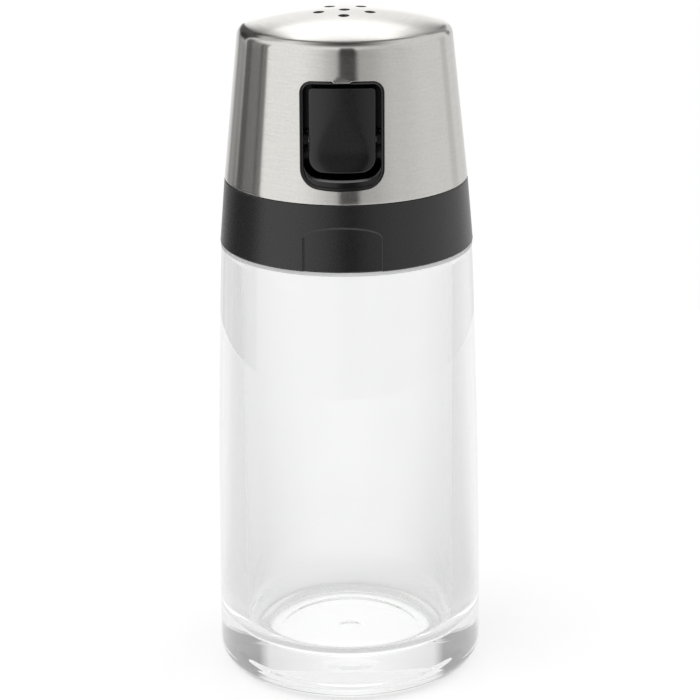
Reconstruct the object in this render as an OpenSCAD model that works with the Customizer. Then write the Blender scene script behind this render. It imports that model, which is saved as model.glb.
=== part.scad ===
// Table shaker for spice or sugar: a thick clear jar and a screw-off cap. The cap's steel dome has shaker
// holes in its crown and a pour spout that rocks out of its front when its lower end is pressed.
// The origin is the centre of the foot, +Z is up and the spout faces -Y. Sizes are in millimetres.

/* [Jar] */
// Radius of the jar just above its foot corner
jar_foot_r = 29; // [28:0.5:32]
// Height of the shoulder that the cap closes down to
jar_shoulder_z = 96; // [84:1:120]
// How far the outer wall leans in between the foot and the shoulder
jar_lean = 2.1; // [1:0.1:3]
// Radius of the round corner at the foot
jar_corner_r = 4; // [2:0.5:5]
// Radius of the small round edge at the shoulder
jar_shoulder_edge_r = 0.8; // [0.4:0.1:1.2]
// Wall thickness at the foot
jar_wall = 6; // [5.25:0.25:7]
// Thickness of the solid base under the contents
jar_base_t = 7.8; // [6.6:0.1:14]
// Radius of the fillet between the inner wall and the inner floor
jar_floor_r = 6; // [2:0.5:8]
// Radius of the shallow recess inside the standing ring
recess_r = 20.4; // [18.6:0.2:22]
// Depth of that recess
recess_h = 0.35; // [0.3:0.05:0.8]
// Radius of the raised step inside the recess
recess_step_r = 16; // [8:0.5:17.5]
// Radius of the gate mark at the centre of the underside
gate_r = 3.25; // [2:0.25:5]
// Depth of the step and of the gate mark
gate_h = 0.2; // [0.15:0.05:0.5]

/* [Neck and thread] */
// Height of the neck above the shoulder
neck_h = 9.5; // [8.5:0.5:12]
// Wall thickness of the neck behind the thread
neck_wall = 1.4; // [1.2:0.1:2]
// Rise of the thread in one full turn
thread_lead = 12; // [10:0.5:14]
// Number of thread starts, each one ridge on the neck and one lug in the cap
thread_starts = 4; // [3:1:4]
// How far a ridge or a lug stands out of its wall
thread_depth = 0.9; // [0.7:0.05:1.1]
// Height of a ridge or a lug where it leaves its wall
thread_base = 1.3; // [1.1:0.1:1.5]
// Height of a ridge or a lug at its crest
thread_crest = 0.7; // [0.5:0.1:0.9]
// Angle that one ridge on the neck spans
ridge_sweep = 50; // [40:1:56]
// Angle that one lug in the cap spans
lug_sweep = 40; // [30:1:44]
// Distance from the rim of the neck down to the middle of the ridges
ridge_drop = 3.1; // [2.9:0.1:3.6]
// Radial clearance between the two threads
thread_clear = 0.3; // [0.2:0.05:0.4]
// Axial clearance between a lug and the ridge over it
thread_play = 0.25; // [0.15:0.05:0.4]

/* [Collar, ring and seal] */
// Height of the soft collar
collar_h = 14; // [13:0.25:16]
// Taper of the collar from the vertical, in degrees
collar_taper = 4.9; // [3.5:0.1:6]
// Thickness of the soft collar over the ring
collar_t = 0.7; // [0.5:0.05:0.9]
// How far the collar stands out past the jar's shoulder
collar_overhang = 0.07; // [0:0.01:0.3]
// Width of the bare arched panel on the collar's front
panel_w = 16.2; // [12:0.1:22]
// Height of the panel's straight sides
panel_side_h = 6.9; // [4:0.1:8]
// Rise of the panel's arched top over its sides
panel_arch_h = 2.4; // [1.5:0.1:4]
// Depth of the panel
panel_depth = 0.25; // [0.1:0.05:0.4]
// Wall of the threaded skirt at the level of the neck's rim
skirt_wall = 0.75; // [0.6:0.05:0.9]
// Height that the skirt's lower edge keeps from the jar's shoulder
skirt_clear = 0.6; // [0.3:0.1:1]
// Thickness of the flange that presses on the seal
flange_t = 1.2; // [0.8:0.1:1.4]
// Wall of the rim that holds the liner
rim_wall = 1.1; // [0.9:0.05:1.3]
// Thickness of the silicone seal on the neck
seal_t = 1.1; // [0.8:0.1:1.3]
// Clearance between parts of the cap that are fitted together
fit_gap = 0.05; // [0.03:0.01:0.1]
// Open seam between the jar, the collar and the dome
seam_gap = 0.1; // [0.05:0.01:0.2]

/* [Dome and liner] */
// Height of the steel dome
dome_h = 35.1; // [34:0.1:42]
// Taper of the dome's side from the vertical, in degrees
dome_taper = 6; // [4:0.25:8]
// Radius of the shallow crown
crown_r = 84; // [70:1:110]
// Radius of the round edge between side and crown
dome_edge_r = 2.05; // [1.5:0.05:3]
// Thickness of the steel sheet
steel_t = 0.6; // [0.4:0.05:0.8]
// Diameter of a shaker hole
hole_d = 2.2; // [1.5:0.1:3]
// Radius of the ring of shaker holes
hole_ring_r = 5.6; // [4.5:0.1:8]
// Number of shaker holes in the ring
hole_count = 5; // [3:1:6]
// How much wider a hole in the liner is than the steel's hole above it
hole_relief = 0.6; // [0.3:0.1:1]
// Wall thickness of the plastic liner
liner_t = 1.4; // [1.1:0.1:1.8]

/* [Spout window] */
// Height of the spout's pivot over the dome's lower edge
pivot_up = 12.74; // [12:0.1:16]
// Depth of the spout's pivot under the steel
pivot_depth = 3; // [2.8:0.1:3.6]
// Width of the window in the steel
window_w = 17.1; // [16.5:0.1:19]
// Distance from the pivot down to the window's lower edge
window_down = 10.4; // [10:0.1:10.8]
// Distance from the pivot up to the window's upper edge
window_up = 11.9; // [11.6:0.1:12.4]
// Radius of the window's upper corners
window_top_r = 2.4; // [1:0.1:3]
// Radius of the window's lower corners
window_bottom_r = 4.2; // [2:0.1:5]
// Radius of the bow of the window's lower edge
window_bow_r = 30; // [20:1:60]
// Width of the locating tab at the window's upper edge
tab_w = 3.2; // [2:0.1:5]
// Height of the locating tab
tab_h = 0.4; // [0.3:0.05:0.8]
// Clearance between the steel and the bezel in the window
bezel_gap = 0.08; // [0.05:0.01:0.15]
// How far the bezel's lip lies under the steel's surface
lip_recess = 0.15; // [0:0.05:0.3]
// Width of the bezel's lip at the sides and the top, which is also the tub's side wall
lip_w = 0.62; // [0.5:0.02:0.7]
// Height of the bezel's land under the spout
land_h = 2.1; // [1.8:0.05:2.4]
// Radius of the bow of the land's upper edge
land_bow_r = 39; // [30:1:60]
// How far the land lies behind the lip's face
land_recess = 0.4; // [0.2:0.05:0.6]
// Wall thickness of the tub behind the spout
tub_wall = 1.1; // [0.8:0.1:1.4]
// Depth of the tub's upper part behind the pivot
tub_depth = 3.6; // [3.4:0.1:4.5]
// Depth of the solid land behind the pivot
land_depth = 2; // [1:0.25:3]
// Radius of the scoop that the spout's lower end swings through
scoop_r = 8.3; // [8.25:0.05:8.8]
// Height over the pivot where the scoop ends under the pour window
shelf_up = 0.8; // [0.6:0.1:1.2]

/* [Pour spout] */
// Width of the spout
spout_w = 13.6; // [12.8:0.1:14]
// Distance from the pivot down to the spout's lower end
spout_down = 6.8; // [6:0.1:7]
// Distance from the pivot up to the spout's upper end
spout_up = 10.3; // [9.8:0.1:10.4]
// Radius of the spout's upper corners
spout_top_r = 0.8; // [0.4:0.1:1.5]
// Radius of the spout's lower corners
spout_bottom_r = 3; // [1.5:0.1:4]
// Radius of the bow of the spout's lower edge
spout_bow_r = 60; // [30:5:90]
// How far the middle of the spout's face lies under the steel's surface
spout_recess = 0.5; // [0.3:0.05:0.7]
// Thickness of the spout's plate at its middle
spout_t = 1.5; // [1.3:0.05:1.6]
// Radius of the spout's crowned face
face_r = 23.4; // [21:0.2:40]
// Radius of the finger dip at the spout's lower end
dip_r = 9; // [6:0.5:14]
// Depth of the finger dip
dip_depth = 0.45; // [0.2:0.05:0.5]
// Distance from the pivot down to the middle of the finger dip
dip_down = 3.3; // [2.8:0.1:3.8]
// Thickness of the cheeks that carry the pivot and guide the pour
cheek_t = 1; // [0.8:0.05:1.1]
// How far the cheeks reach behind the pivot
cheek_back = 3.1; // [2:0.1:3.2]
// Diameter of the spout's steel axle
axle_d = 1.5; // [1.2:0.1:1.6]
// Radial clearance of the axle in the spout
axle_play = 0.05; // [0.02:0.01:0.08]
// Side clearance between the spout and the bezel's axle bosses
side_play = 0.2; // [0.1:0.05:0.3]
// Wall of an axle boss
boss_wall = 0.55; // [0.4:0.05:0.7]
// Width of the pour window
pour_w = 8.4; // [7:0.1:8.8]
// Height of the pour window
pour_h = 5.9; // [5:0.1:6.2]
// Distance from the pivot up to the pour window
pour_up = 2.7; // [2.5:0.1:3]
// Wall of the boss round the pour window
pour_wall = 0.8; // [0.6:0.1:0.9]
// Thickness of the silicone pad that closes the pour window
pad_t = 1.1; // [0.9:0.05:1.2]
// Depth of the pad's pocket in the spout
pad_pocket = 0.3; // [0.2:0.05:0.5]

/* [Hidden] */
$fn = 96;
// Extra length by which a cutting shape runs past the solid it cuts
over = 1;
// Depth by which a shape, and a thread segment, is rooted in the wall that it grows from
root = 0.1;
thread_root = 0.3;

// The jar's own levels and radii
shoulder_r = jar_foot_r - jar_lean;
bore_r = jar_foot_r - jar_wall;
neck_top_z = jar_shoulder_z + neck_h;
throat_h = 4;
throat_z = jar_shoulder_z + throat_h;

// The collar's outside, from which the ring and the neck are worked out inwards
collar_z = jar_shoulder_z + seam_gap;
collar_top_z = collar_z + collar_h;
collar_foot_r = shoulder_r + collar_overhang;
ring_inset = collar_t + fit_gap;
skirt_r = collar_r(neck_top_z) - ring_inset - skirt_wall;
ridge_r = skirt_r - thread_clear;
neck_r = ridge_r - thread_depth;
lug_r = skirt_r - thread_depth;
mouth_r = neck_r - neck_wall;

// The thread's levels
lead_angle = atan(thread_lead / (PI * (ridge_r + neck_r)));
ridge_z = neck_top_z - ridge_drop;
lug_z = ridge_z - (thread_base + thread_crest) / 2 - thread_play;

// The stack on the neck: seal, flange, liner
seal_z = neck_top_z + fit_gap;
flange_z = seal_z + seal_t + fit_gap;
flange_top_z = flange_z + flange_t;
rim_r = collar_r(collar_top_z) - ring_inset - rim_wall;

// The dome
dome_z = collar_top_z + seam_gap;
dome_foot_r = collar_r(collar_top_z);
dome_top_z = dome_z + dome_h;
crown_z = dome_top_z - crown_r;
liner_out = steel_t + fit_gap;
liner_in = liner_out + liner_t;
least_edge_r = 0.4;

// The spout's frame: its origin is the pivot, its Z runs up along the dome's side, its -Y points out of it
pivot_z = dome_z + pivot_up;
pivot_y = pivot_depth * cos(dome_taper) - dome_r(pivot_z + pivot_depth * sin(dome_taper));
face_y = spout_recess - pivot_depth;
plate_y = face_y + spout_t;
pad_back_y = plate_y - pad_pocket;
pad_face_y = pad_back_y + pad_t;
boss_y = pad_face_y + fit_gap;
bezel_w = window_w - 2 * bezel_gap;
tub_w = bezel_w - 2 * lip_w;
cheek_x = spout_w / 2 - fit_gap - cheek_t;
pad_margin = 0.7;
// Reach of the prisms that are cut or trimmed by the dome, in front of the pivot and behind it
reach = 8;

// Points of an arc about c, from angle a0 to a1
function arc(c, r, a0, a1, n = 6) =
    [for (i = [0:n]) let (a = a0 + (a1 - a0) * i / n) c + r * [cos(a), sin(a)]];
function reversed(list) = [for (i = [len(list) - 1:-1:0]) list[i]];

// Outer radius of the collar at a height
function collar_r(z) = collar_foot_r - (z - collar_z) * tan(collar_taper);
// Radius of the dome's side at a height, d under the steel's surface
function dome_r(z, d = 0) = dome_foot_r - d / cos(dome_taper) - (z - dome_z) * tan(dome_taper);

// Radius of the jar's gently bowed outer wall at a height
jar_bow_top_z = jar_shoulder_z - jar_shoulder_edge_r;
function jar_r(z) = jar_foot_r - jar_lean * pow((z - jar_corner_r) / (jar_bow_top_z - jar_corner_r), 2);

// Profile of the dome d under its surface, from its side at height z up to the axis. The edge's arc
// touches the side's line and the crown's circle, which fixes its centre.
function dome_profile(z, d) =
    let (
        rho = max(dome_edge_r - d, least_edge_r),
        normal = [-cos(dome_taper), -sin(dome_taper)],
        rise = [-sin(dome_taper), cos(dome_taper)],
        crown = [0, crown_z],
        from = [dome_r(dome_z, d), dome_z] + rho * normal - crown,
        along = -from * rise + sqrt(pow(from * rise, 2) - from * from + pow(crown_r - d - rho, 2)),
        centre = from + along * rise,
        steep = atan2(centre[1], centre[0])
    )
    concat(
        [[dome_r(z, d), z]],
        arc(centre + crown, rho, dome_taper, steep),
        arc(crown, crown_r - d, steep + (90 - steep) / 8, 90, 7)
    );

// Outline of the window and of what fits in it: round corners and a bowed lower edge, about x = 0
function window_outline(w, down, up, top_r, bottom_r, bow_r) =
    let (
        bow = [0, bow_r - down],
        x = w / 2 - bottom_r,
        z = bow[1] - sqrt(pow(bow_r - bottom_r, 2) - x * x),
        a = atan2(z - bow[1], x)
    )
    concat(
        arc(bow, bow_r, -180 - a, a, 8),
        arc([x, z], bottom_r, a, 0),
        arc([w / 2 - top_r, up - top_r], top_r, 0, 90),
        arc([top_r - w / 2, up - top_r], top_r, 90, 180),
        arc([-x, z], bottom_r, 180, 180 - a)
    );
function bezel_outline(grow = 0) =
    window_outline(bezel_w + 2 * grow, window_down - bezel_gap + grow, window_up - bezel_gap + grow,
        window_top_r, window_bottom_r, window_bow_r);
function tub_outline() =
    window_outline(tub_w, window_down - bezel_gap - land_h, window_up - bezel_gap - lip_w,
        max(window_top_r - lip_w, 0.3), max(window_bottom_r - lip_w, 0.5), land_bow_r);
function lip_opening() =
    window_outline(tub_w, window_down - bezel_gap - lip_w, window_up - bezel_gap - lip_w,
        max(window_top_r - lip_w, 0.3), max(window_bottom_r - lip_w, 0.5), window_bow_r);
function pour_outline(grow) =
    window_outline(pour_w + 2 * grow, grow - pour_up, pour_up + pour_h + grow, 0.6 + grow, 0.6 + grow, 400);

// A prism along Y with the given outline in X and Z
module prism(outline, front, back) {
    translate([0, back, 0]) rotate([90, 0, 0]) linear_extrude(back - front) polygon(outline);
}

// Places its children in the spout's frame
module at_pivot() {
    translate([0, pivot_y, pivot_z]) rotate([-dome_taper, 0, 0]) children();
}

// A rod along X through the pivot
module cross_rod(r, length) {
    rotate([0, 90, 0]) cylinder(r = r, h = length, center = true);
}

// One thread segment, tilted by the lead so that it follows the helix, with its middle on +X. Its flanks
// run on into the wall, so that they meet it at a clear angle.
module thread_segment(wall_r, crest_r, sweep) {
    rooted_r = wall_r - sign(crest_r - wall_r) * thread_root;
    rooted = thread_base + (thread_base - thread_crest) * thread_root / thread_depth;
    rotate([lead_angle, 0, 0]) rotate_extrude(angle = sweep, start = -sweep / 2) polygon([
        [rooted_r, -rooted / 2], [crest_r, -thread_crest / 2],
        [crest_r, thread_crest / 2], [rooted_r, rooted / 2]
    ]);
}
module thread_segments(z, wall_r, crest_r, sweep) {
    for (k = [0:thread_starts - 1])
        translate([0, 0, z]) rotate(k * 360 / thread_starts) thread_segment(wall_r, crest_r, sweep);
}

// Solid dome of revolution, d under the steel's surface
module dome_solid(d) {
    rotate_extrude() polygon(concat(dome_profile(dome_z, d), [[0, dome_z]]));
}

// Shaker holes, wider than the steel's by the relief
module shaker_holes(relief = 0) {
    for (k = [-1:hole_count - 1])
        rotate(k * 360 / hole_count - 90) translate([k < 0 ? 0 : hole_ring_r, 0, dome_top_z - reach])
            cylinder(d = hole_d + relief, h = reach + over, $fn = 48);
}

// Locating tab of the steel, or the notch for it when grown
module tab_prism(grow) {
    prism([
        [-tab_w / 2 - grow, window_up - tab_h - grow], [tab_w / 2 + grow, window_up - tab_h - grow],
        [tab_w / 2 + tab_h + grow, window_up + over], [-tab_w / 2 - tab_h - grow, window_up + over]
    ], -reach, pivot_depth);
}

module jar() {
    edge = 0.4;
    step_z = recess_h + gate_h;
    underside = [
        [0, step_z + gate_h], [gate_r, step_z + gate_h], [gate_r, step_z], [recess_step_r, step_z],
        [recess_step_r, recess_h], [recess_r - recess_h / 2, recess_h], [recess_r, 0]
    ];
    corner = arc([jar_foot_r - jar_corner_r, jar_corner_r], jar_corner_r, -90, 0, 8);
    wall = [for (i = [1:8]) let (z = jar_corner_r + (jar_bow_top_z - jar_corner_r) * i / 8) [jar_r(z), z]];
    shoulder = arc([shoulder_r - jar_shoulder_edge_r, jar_bow_top_z], jar_shoulder_edge_r, 15, 90, 5);
    neck = [
        [neck_r + edge, jar_shoulder_z], [neck_r, jar_shoulder_z + edge], [neck_r, neck_top_z - edge],
        [neck_r - edge, neck_top_z], [mouth_r + edge, neck_top_z], [mouth_r, neck_top_z - edge]
    ];
    throat = [for (i = [0:6])
        [mouth_r + (bore_r - mouth_r) * (1 - cos(30 * i)) / 2, throat_z - throat_h * i / 6]];
    floor_corner = arc([bore_r - jar_floor_r, jar_base_t + jar_floor_r], jar_floor_r, 0, -90);
    color([0.9, 0.95, 0.96, 0.45]) union() {
        rotate_extrude() polygon(concat(underside, corner, wall, shoulder, neck, throat, floor_corner,
            [[0, jar_base_t]]));
        thread_segments(ridge_z, neck_r, ridge_r, ridge_sweep);
    }
}

module cap_seal() {
    color([0.85, 0.85, 0.83]) translate([0, 0, seal_z]) difference() {
        cylinder(r = neck_r + thread_depth / 2, h = seal_t);
        translate([0, 0, -over]) cylinder(r = mouth_r + root, h = seal_t + 2 * over);
    }
}

module threaded_ring() {
    skirt_z = jar_shoulder_z + skirt_clear;
    color([0.16, 0.16, 0.17]) union() {
        rotate_extrude() polygon([
            [collar_r(skirt_z) - ring_inset, skirt_z], [collar_r(collar_top_z) - ring_inset, collar_top_z],
            [rim_r, collar_top_z], [rim_r, flange_top_z], [mouth_r, flange_top_z], [mouth_r, flange_z],
            [skirt_r, flange_z], [skirt_r, skirt_z]
        ]);
        thread_segments(lug_z, skirt_r, lug_r, lug_sweep);
    }
}

module collar_grip() {
    edge = 0.35;
    panel = concat(
        [[-panel_w / 2, collar_z - over], [panel_w / 2, collar_z - over]],
        [for (i = [0:12]) [panel_w / 2 * cos(15 * i), collar_z + panel_side_h + panel_arch_h * sin(15 * i)]]
    );
    color([0.2, 0.2, 0.21]) difference() {
        rotate_extrude() polygon(concat(
            [[collar_r(collar_z) - collar_t, collar_z]],
            arc([collar_r(collar_z) - edge, collar_z + edge], edge, -90, 0, 4),
            arc([collar_r(collar_top_z) - edge, collar_top_z - edge], edge, collar_taper, 90, 4),
            [[collar_r(collar_top_z) - collar_t, collar_top_z]]
        ));
        difference() {
            prism(panel, -collar_foot_r - over, 0);
            translate([0, 0, collar_z]) cylinder(r1 = collar_foot_r - panel_depth,
                r2 = collar_r(collar_top_z) - panel_depth, h = collar_h);
            translate([0, 0, collar_z - 2 * over]) cylinder(r = collar_foot_r - panel_depth, h = 2 * over);
        }
    }
}

module dome_liner() {
    spigot_r = rim_r - fit_gap;
    spigot_z = flange_top_z + fit_gap;
    ledge_z = collar_top_z + fit_gap;
    slope_z = ledge_z + liner_t;
    color([0.18, 0.18, 0.19]) difference() {
        rotate_extrude() polygon(concat(
            [[spigot_r, spigot_z], [spigot_r, ledge_z]],
            dome_profile(ledge_z, liner_out),
            reversed(dome_profile(slope_z, liner_in)),
            [[spigot_r - liner_t, ledge_z], [spigot_r - liner_t, spigot_z]]
        ));
        shaker_holes(hole_relief);
        at_pivot() prism(bezel_outline(fit_gap), -reach, reach);
    }
}

module steel_dome() {
    color([0.78, 0.78, 0.76]) difference() {
        rotate_extrude() polygon(concat(dome_profile(dome_z, 0), reversed(dome_profile(dome_z, steel_t))));
        shaker_holes();
        at_pivot() difference() {
            prism(window_outline(window_w, window_down, window_up, window_top_r, window_bottom_r,
                window_bow_r), -reach, pivot_depth);
            tab_prism(0);
        }
    }
}

// Outside of the tub: its front frame, its upper half and the wall round the scoop
module tub_solid() {
    wide = window_w + 2 * over;
    upper_back = tub_depth + tub_wall;
    prism(bezel_outline(), -reach, land_depth);
    intersection() {
        prism(bezel_outline(), 0, upper_back);
        translate([-wide / 2, 0, 0]) cube([wide, upper_back, window_up]);
    }
    intersection() {
        prism(bezel_outline(), 0, scoop_r + tub_wall);
        translate([-wide / 2, 0, -window_down]) cube([wide, 2 * scoop_r, window_down + shelf_up + tub_wall]);
        cross_rod(scoop_r + tub_wall, wide);
    }
}

// Space inside the tub: a shallow upper half and the scoop under it
module tub_space() {
    wide = window_w + 2 * over;
    intersection() {
        prism(tub_outline(), -reach - over, tub_depth);
        translate([-wide / 2, -reach - over, 0]) cube([wide, 2 * reach, window_up]);
    }
    intersection() {
        prism(tub_outline(), -reach - over, scoop_r);
        translate([-wide / 2, -reach - over, -window_down])
            cube([wide, reach + over + scoop_r, window_down + shelf_up]);
        union() {
            cross_rod(scoop_r, wide);
            translate([-wide / 2, -reach - over, -window_down])
                cube([wide, reach + over, window_down + shelf_up]);
        }
    }
}

module spout_bezel() {
    boss_x = spout_w / 2 + side_play;
    color([0.07, 0.07, 0.08]) difference() {
        union() {
            difference() {
                intersection() {
                    at_pivot() tub_solid();
                    dome_solid(lip_recess);
                }
                at_pivot() tub_space();
                at_pivot() tab_prism(bezel_gap);
                difference() {
                    at_pivot() prism(lip_opening(), -reach, 0);
                    dome_solid(lip_recess + land_recess);
                }
            }
            at_pivot() prism(pour_outline(pour_wall), boss_y, tub_depth + root);
            at_pivot() for (side = [-1, 1])
                translate([side * (boss_x + tub_w / 2 + root) / 2, 0, 0])
                    cross_rod(axle_d / 2 + boss_wall, tub_w / 2 + root - boss_x);
        }
        at_pivot() prism(pour_outline(0), -reach, tub_depth + tub_wall + over);
        at_pivot() cross_rod(axle_d / 2 + fit_gap / 5, window_w + 2 * over);
    }
}

module spout_cheek() {
    cheek_top = spout_up - 0.7;
    rotate([90, 0, 90]) linear_extrude(cheek_t) polygon([
        [plate_y - 0.35, -0.6 * spout_down], [0.2, -axle_d], [axle_d, 0.4], [cheek_back, 0.3 * cheek_top],
        [cheek_back, 0.75 * cheek_top], [0.4 * cheek_back, cheek_top], [plate_y - 0.35, cheek_top]
    ]);
    rotate([90, 0, 90]) cylinder(d = 2 * axle_d + 0.2, h = cheek_t);
}

module pour_spout() {
    color([0.22, 0.22, 0.23]) at_pivot() difference() {
        intersection() {
            union() {
                prism(window_outline(spout_w, spout_down, spout_up, spout_top_r, spout_bottom_r,
                    spout_bow_r), -reach, plate_y);
                translate([cheek_x, 0, 0]) spout_cheek();
                translate([-cheek_x - cheek_t, 0, 0]) spout_cheek();
            }
            translate([0, face_y + face_r, -spout_down - over])
                cylinder(r = face_r, h = spout_down + spout_up + 2 * over);
        }
        translate([0, face_y + dip_depth - dip_r, -dip_down]) cross_rod(dip_r, spout_w + over);
        prism(pour_outline(pad_margin + fit_gap), pad_back_y, 0);
        cross_rod(axle_d / 2 + axle_play, spout_w + over);
    }
}

module spout_axle() {
    color([0.7, 0.7, 0.72]) at_pivot() cross_rod(axle_d / 2, bezel_w - 2 * fit_gap);
}

module spout_pad() {
    color([0.8, 0.8, 0.78]) at_pivot() prism(pour_outline(pad_margin), pad_back_y, pad_face_y);
}

jar();
cap_seal();
threaded_ring();
collar_grip();
dome_liner();
steel_dome();
spout_bezel();
pour_spout();
spout_axle();
spout_pad();
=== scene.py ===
"""Table spice shaker: a thick clear jar and a screw-off cap, whose brushed steel dome has shaker holes in its
crown and a black framed window in its front, where a small pour spout rocks on a steel pin."""

import bmesh
import bpy
import numpy as np
from mathutils import Matrix, Vector


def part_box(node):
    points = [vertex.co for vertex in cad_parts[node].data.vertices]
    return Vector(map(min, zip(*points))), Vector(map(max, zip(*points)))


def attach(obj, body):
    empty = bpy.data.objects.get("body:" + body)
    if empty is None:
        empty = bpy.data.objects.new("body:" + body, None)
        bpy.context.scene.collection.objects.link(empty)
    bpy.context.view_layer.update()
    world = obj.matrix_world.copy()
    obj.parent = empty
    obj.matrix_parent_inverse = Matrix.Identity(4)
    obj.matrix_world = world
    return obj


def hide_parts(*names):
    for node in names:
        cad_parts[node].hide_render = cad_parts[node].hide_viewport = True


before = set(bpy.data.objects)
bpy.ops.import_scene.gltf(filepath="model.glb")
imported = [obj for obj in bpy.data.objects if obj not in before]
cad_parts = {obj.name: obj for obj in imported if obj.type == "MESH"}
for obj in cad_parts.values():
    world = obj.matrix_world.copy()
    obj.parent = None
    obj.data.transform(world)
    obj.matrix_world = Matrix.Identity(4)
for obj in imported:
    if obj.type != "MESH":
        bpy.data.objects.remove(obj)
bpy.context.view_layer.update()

# ---- Jar ----
# The jar is one pressing of clear glass: a thick base on a standing ring, a gently bowed wall, and a narrow
# neck with four thread ridges. Its underside has a shallow recess, a raised step and a small gate mark. It is
# fire-polished, so its edges are soft and its skin slightly wavy, but the shoulder's edge is left satin,
# where the glass is also tinted grey as painted shade.
MM = 0.001
foot_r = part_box("jar")[1].x / MM
neck_top_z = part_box("jar")[1].z / MM
neck_h = 9.5
shoulder_z = neck_top_z - neck_h
shoulder_edge_r = 0.8
foot_corner_r = 4.0
wall_lean = 2.1
wall_t = 6.0
base_t = 7.8
floor_corner_r = 6.0
recess_r, recess_h, recess_edge = 20.4, 0.35, 0.8
step_r, step_h, step_edge = 16.0, 0.2, 1.8
gate_r, gate_h, gate_edge = 3.25, 0.2, 2.8
neck_r = 23.464
neck_t = 1.4
neck_edge = 0.5
mouth_r = neck_r - neck_t
throat_h = 4.0
ridge_depth = 0.9
ridge_base = 1.3
ridge_crest = 0.7
ridge_down = 3.1
ridge_half_sweep = np.radians(25)
ridge_run_out = np.radians(2.5)
ridge_tilt = np.radians(4.566)
ridge_starts = 4


def arc(centre, radius, start, end, steps=8):
    """Points centre + radius * (cos a, sin a) for a from start to end, in degrees."""
    a = np.radians(np.linspace(start, end, steps + 1))
    return np.stack([centre[0] + radius * np.cos(a), centre[1] + radius * np.sin(a)], -1)


def softened(points, radius, steps=4):
    """Polyline whose inner corners are replaced by quadratic curves. Each curve leaves one leg and joins the
    next at the radius from the corner, or at 0.45 of a shorter leg, and the corner is its control point."""
    points = np.asarray(points, float)
    before, corner, after = points[:-2], points[1:-1], points[2:]
    leg_in, leg_out = before - corner, after - corner
    length_in = np.linalg.norm(leg_in, axis=1, keepdims=True)
    length_out = np.linalg.norm(leg_out, axis=1, keepdims=True)
    start = corner + leg_in / length_in * np.minimum(radius, 0.45 * length_in)
    end = corner + leg_out / length_out * np.minimum(radius, 0.45 * length_out)
    t = np.linspace(0, 1, steps + 1)[None, :, None]
    curves = (1 - t) ** 2 * start[:, None] + 2 * t * (1 - t) * corner[:, None] + t ** 2 * end[:, None]
    return np.concatenate([points[:1], curves.reshape(-1, 2), points[-1:]])


def smooth_step(t):
    """3t^2 - 2t^3, held at 0 below 0 and at 1 above 1."""
    t = np.clip(t, 0, 1)
    return t * t * (3 - 2 * t)


def around(columns):
    """Angles of a full turn, measured from the front (-Y) towards +X, with the seam's angle given twice."""
    return np.linspace(-np.pi, np.pi, columns + 1)


def turned(profile, angles, push=None):
    """Surface of revolution: the profile's (r, z) at each angle a is (r sin a, -r cos a, z). push(a, z, r) is
    added to the radius."""
    r, z = profile[:, :1], profile[:, 1:]
    a = np.broadcast_to(angles, (len(profile), len(angles)))
    z = np.broadcast_to(z, a.shape)
    r = r + (0 if push is None else push(a, z, r))
    return np.stack([r * np.sin(a), -r * np.cos(a), z], -1)


def piece(name, finish, grids, sharp=50, edge_finish=None, edge_grids=()):
    """One mesh from grids of points in millimetres, each (rows, columns, 3). Neighbouring points make quads,
    points that coincide are merged, so seams and poles close, and the faces are turned outwards. The edge
    grids, if any, get the edge finish."""
    points, quads, start = [], [], 0
    for grid in [*grids, *edge_grids]:
        rows, columns = grid.shape[:2]
        index = start + np.arange(rows * columns).reshape(rows, columns)
        corners = [index[:-1, :-1], index[:-1, 1:], index[1:, 1:], index[1:, :-1]]
        quads.append(np.stack(corners, -1).reshape(-1, 4))
        points.append(grid.reshape(-1, 3) * MM)
        start += rows * columns
    mesh = bpy.data.meshes.new(name)
    mesh.from_pydata(np.concatenate(points).tolist(), [], np.concatenate(quads).tolist())
    weld, shortest = 0.0015 * MM, 0.0005 * MM
    on_edge = np.repeat(np.arange(len(quads)) >= len(grids), [len(q) for q in quads])
    mesh.polygons.foreach_set("material_index", on_edge.astype(np.int32))
    work = bmesh.new()
    work.from_mesh(mesh)
    bmesh.ops.remove_doubles(work, verts=work.verts, dist=weld)
    bmesh.ops.dissolve_degenerate(work, edges=work.edges, dist=shortest)
    bmesh.ops.recalc_face_normals(work, faces=work.faces)
    for face in work.faces:
        face.smooth = True
    for edge in work.edges:
        edge.smooth = bool(edge.calc_face_angle(0) < np.radians(sharp))
    work.to_mesh(mesh)
    work.free()
    mesh.materials.append(finish)
    if edge_finish:
        mesh.materials.append(edge_finish)
    made = bpy.data.objects.new(name, mesh)
    bpy.context.scene.collection.objects.link(made)
    return made


def node(tree, kind, inputs=None, **settings):
    """Adds one shader node. Each input is a value, or another node's output, which is then linked."""
    made = tree.nodes.new(kind)
    for key, value in settings.items():
        setattr(made, key, value)
    for key, value in (inputs or {}).items():
        if isinstance(value, bpy.types.NodeSocket):
            tree.links.new(value, made.inputs[key])
        else:
            made.inputs[key].default_value = value
    return made


def surface(name, sockets):
    """A material with one Principled surface. Returns the material, its tree and the surface node."""
    made = bpy.data.materials.new(name)
    made.use_nodes = True
    principled = made.node_tree.nodes["Principled BSDF"]
    for key, value in sockets.items():
        principled.inputs[key].default_value = value
    return made, made.node_tree, principled


def millimetres(tree, scale=(1, 1, 1)):
    """Object coordinates in millimetres, times a scale for each axis."""
    place = node(tree, "ShaderNodeTexCoord").outputs["Object"]
    size = [s / MM for s in scale]
    return node(tree, "ShaderNodeVectorMath", {0: place, 1: size}, operation="MULTIPLY").outputs[0]


def noise(tree, vector, scale, detail=3.0, rough=0.55):
    """Noise from 0 to 1, with scale waves in a millimetre."""
    return node(tree, "ShaderNodeTexNoise", {
        "Vector": vector, "Scale": scale, "Detail": detail, "Roughness": rough}).outputs["Fac"]


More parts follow.
